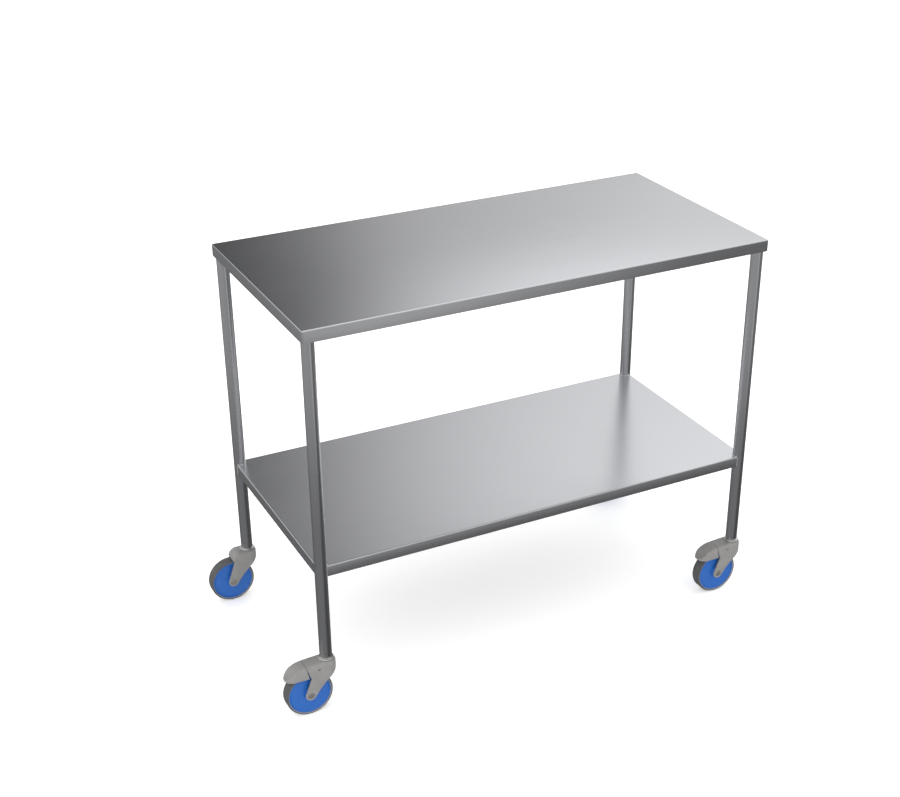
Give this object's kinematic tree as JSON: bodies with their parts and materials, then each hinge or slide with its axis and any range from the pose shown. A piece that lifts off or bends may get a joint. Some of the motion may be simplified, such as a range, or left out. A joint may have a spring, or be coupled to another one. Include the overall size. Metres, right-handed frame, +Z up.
{
  "type": "surgical trolley",
  "caption": "Two-shelf stainless steel instrument trolley on round legs with swivel castors and foot brakes at the front.",
  "frame": {"origin": "on the floor, at the middle of the area that the whole trolley covers with its castors trailing", "axes": "+X along the trolley, away from the side where the wheels trail; +Y from the braked front to the back; +Z up"},
  "size_m": [1.1046, 0.509, 0.842],
  "materials": {
    "brushed_stainless": "fine grain, semi-gloss",
    "plated_steel": "bright zinc",
    "castor_housing": "moulded grey nylon, satin",
    "blue_wheel_centre": "moulded blue, satin",
    "grey_tyre": "matte dark grey",
    "nylon": "plain",
    "grip_rubber": "matte"
  },
  "bodies": {
    "table": {"top_sheet": "brushed_stainless", "shelf_sheet": "brushed_stainless", "top_stiffener": "brushed_stainless", "shelf_stiffener": "brushed_stainless", "leg_front_left": "brushed_stainless", "leg_front_right": "brushed_stainless", "leg_rear_left": "brushed_stainless", "leg_rear_right": "brushed_stainless", "swivel_collar_front_left": "plated_steel", "swivel_collar_front_right": "plated_steel", "swivel_collar_rear_left": "plated_steel", "swivel_collar_rear_right": "plated_steel", "stem_front_left": "plated_steel", "stem_front_right": "plated_steel", "stem_rear_left": "plated_steel", "stem_rear_right": "plated_steel", "stem_nut_front_left": "plated_steel", "stem_nut_front_right": "plated_steel", "stem_nut_rear_left": "plated_steel", "stem_nut_rear_right": "plated_steel", "expander_front_left": "grip_rubber", "expander_front_right": "grip_rubber", "expander_rear_left": "grip_rubber", "expander_rear_right": "grip_rubber"},
    "swivel_front_left": {"fork_front_left": "castor_housing", "swivel_bearing_front_left": "plated_steel", "axle_front_left": "plated_steel", "axle_nut_front_left": "plated_steel", "brake_pin_front_left": "plated_steel"},
    "swivel_front_right": {"fork_front_right": "castor_housing", "swivel_bearing_front_right": "plated_steel", "axle_front_right": "plated_steel", "axle_nut_front_right": "plated_steel", "brake_pin_front_right": "plated_steel"},
    "swivel_rear_left": {"fork_rear_left": "castor_housing", "swivel_bearing_rear_left": "plated_steel", "axle_rear_left": "plated_steel", "axle_nut_rear_left": "plated_steel"},
    "swivel_rear_right": {"fork_rear_right": "castor_housing", "swivel_bearing_rear_right": "plated_steel", "axle_rear_right": "plated_steel", "axle_nut_rear_right": "plated_steel"},
    "wheel_front_left": {"tyre_front_left": "grey_tyre", "wheel_centre_front_left": "blue_wheel_centre", "hub_bush_front_left": "nylon"},
    "wheel_front_right": {"tyre_front_right": "grey_tyre", "wheel_centre_front_right": "blue_wheel_centre", "hub_bush_front_right": "nylon"},
    "wheel_rear_left": {"tyre_rear_left": "grey_tyre", "wheel_centre_rear_left": "blue_wheel_centre", "hub_bush_rear_left": "nylon"},
    "wheel_rear_right": {"tyre_rear_right": "grey_tyre", "wheel_centre_rear_right": "blue_wheel_centre", "hub_bush_rear_right": "nylon"},
    "brake_front_left": {"brake_pedal_front_left": "castor_housing", "brake_shoe_front_left": "grip_rubber"},
    "brake_front_right": {"brake_pedal_front_right": "castor_housing", "brake_shoe_front_right": "grip_rubber"}
  },
  "joints": [
    {"name": "swivel_turn_front_left", "type": "hinge", "parent": "table", "child": "swivel_front_left", "pos_m": [-0.45975, -0.2355, 0.12], "axis": [0, 0, 1], "continuous": true},
    {"name": "swivel_turn_front_right", "type": "hinge", "parent": "table", "child": "swivel_front_right", "pos_m": [0.53325, -0.2355, 0.12], "axis": [0, 0, 1], "continuous": true},
    {"name": "swivel_turn_rear_left", "type": "hinge", "parent": "table", "child": "swivel_rear_left", "pos_m": [-0.45975, 0.2355, 0.12], "axis": [0, 0, 1], "continuous": true},
    {"name": "swivel_turn_rear_right", "type": "hinge", "parent": "table", "child": "swivel_rear_right", "pos_m": [0.53325, 0.2355, 0.12], "axis": [0, 0, 1], "continuous": true},
    {"name": "wheel_spin_front_left", "type": "hinge", "parent": "swivel_front_left", "child": "wheel_front_left", "pos_m": [-0.50225, -0.2355, 0.05], "axis": [0, 1, 0], "continuous": true},
    {"name": "wheel_spin_front_right", "type": "hinge", "parent": "swivel_front_right", "child": "wheel_front_right", "pos_m": [0.49075, -0.2355, 0.05], "axis": [0, 1, 0], "continuous": true},
    {"name": "wheel_spin_rear_left", "type": "hinge", "parent": "swivel_rear_left", "child": "wheel_rear_left", "pos_m": [-0.50225, 0.2355, 0.05], "axis": [0, 1, 0], "continuous": true},
    {"name": "wheel_spin_rear_right", "type": "hinge", "parent": "swivel_rear_right", "child": "wheel_rear_right", "pos_m": [0.49075, 0.2355, 0.05], "axis": [0, 1, 0], "continuous": true},
    {"name": "brake_press_front_left", "type": "hinge", "parent": "swivel_front_left", "child": "brake_front_left", "pos_m": [-0.48215, -0.2355, 0.1077], "axis": [0, -1, 0], "range_deg": [0, 8]},
    {"name": "brake_press_front_right", "type": "hinge", "parent": "swivel_front_right", "child": "brake_front_right", "pos_m": [0.51085, -0.2355, 0.1077], "axis": [0, -1, 0], "range_deg": [0, 8]}
  ]
}
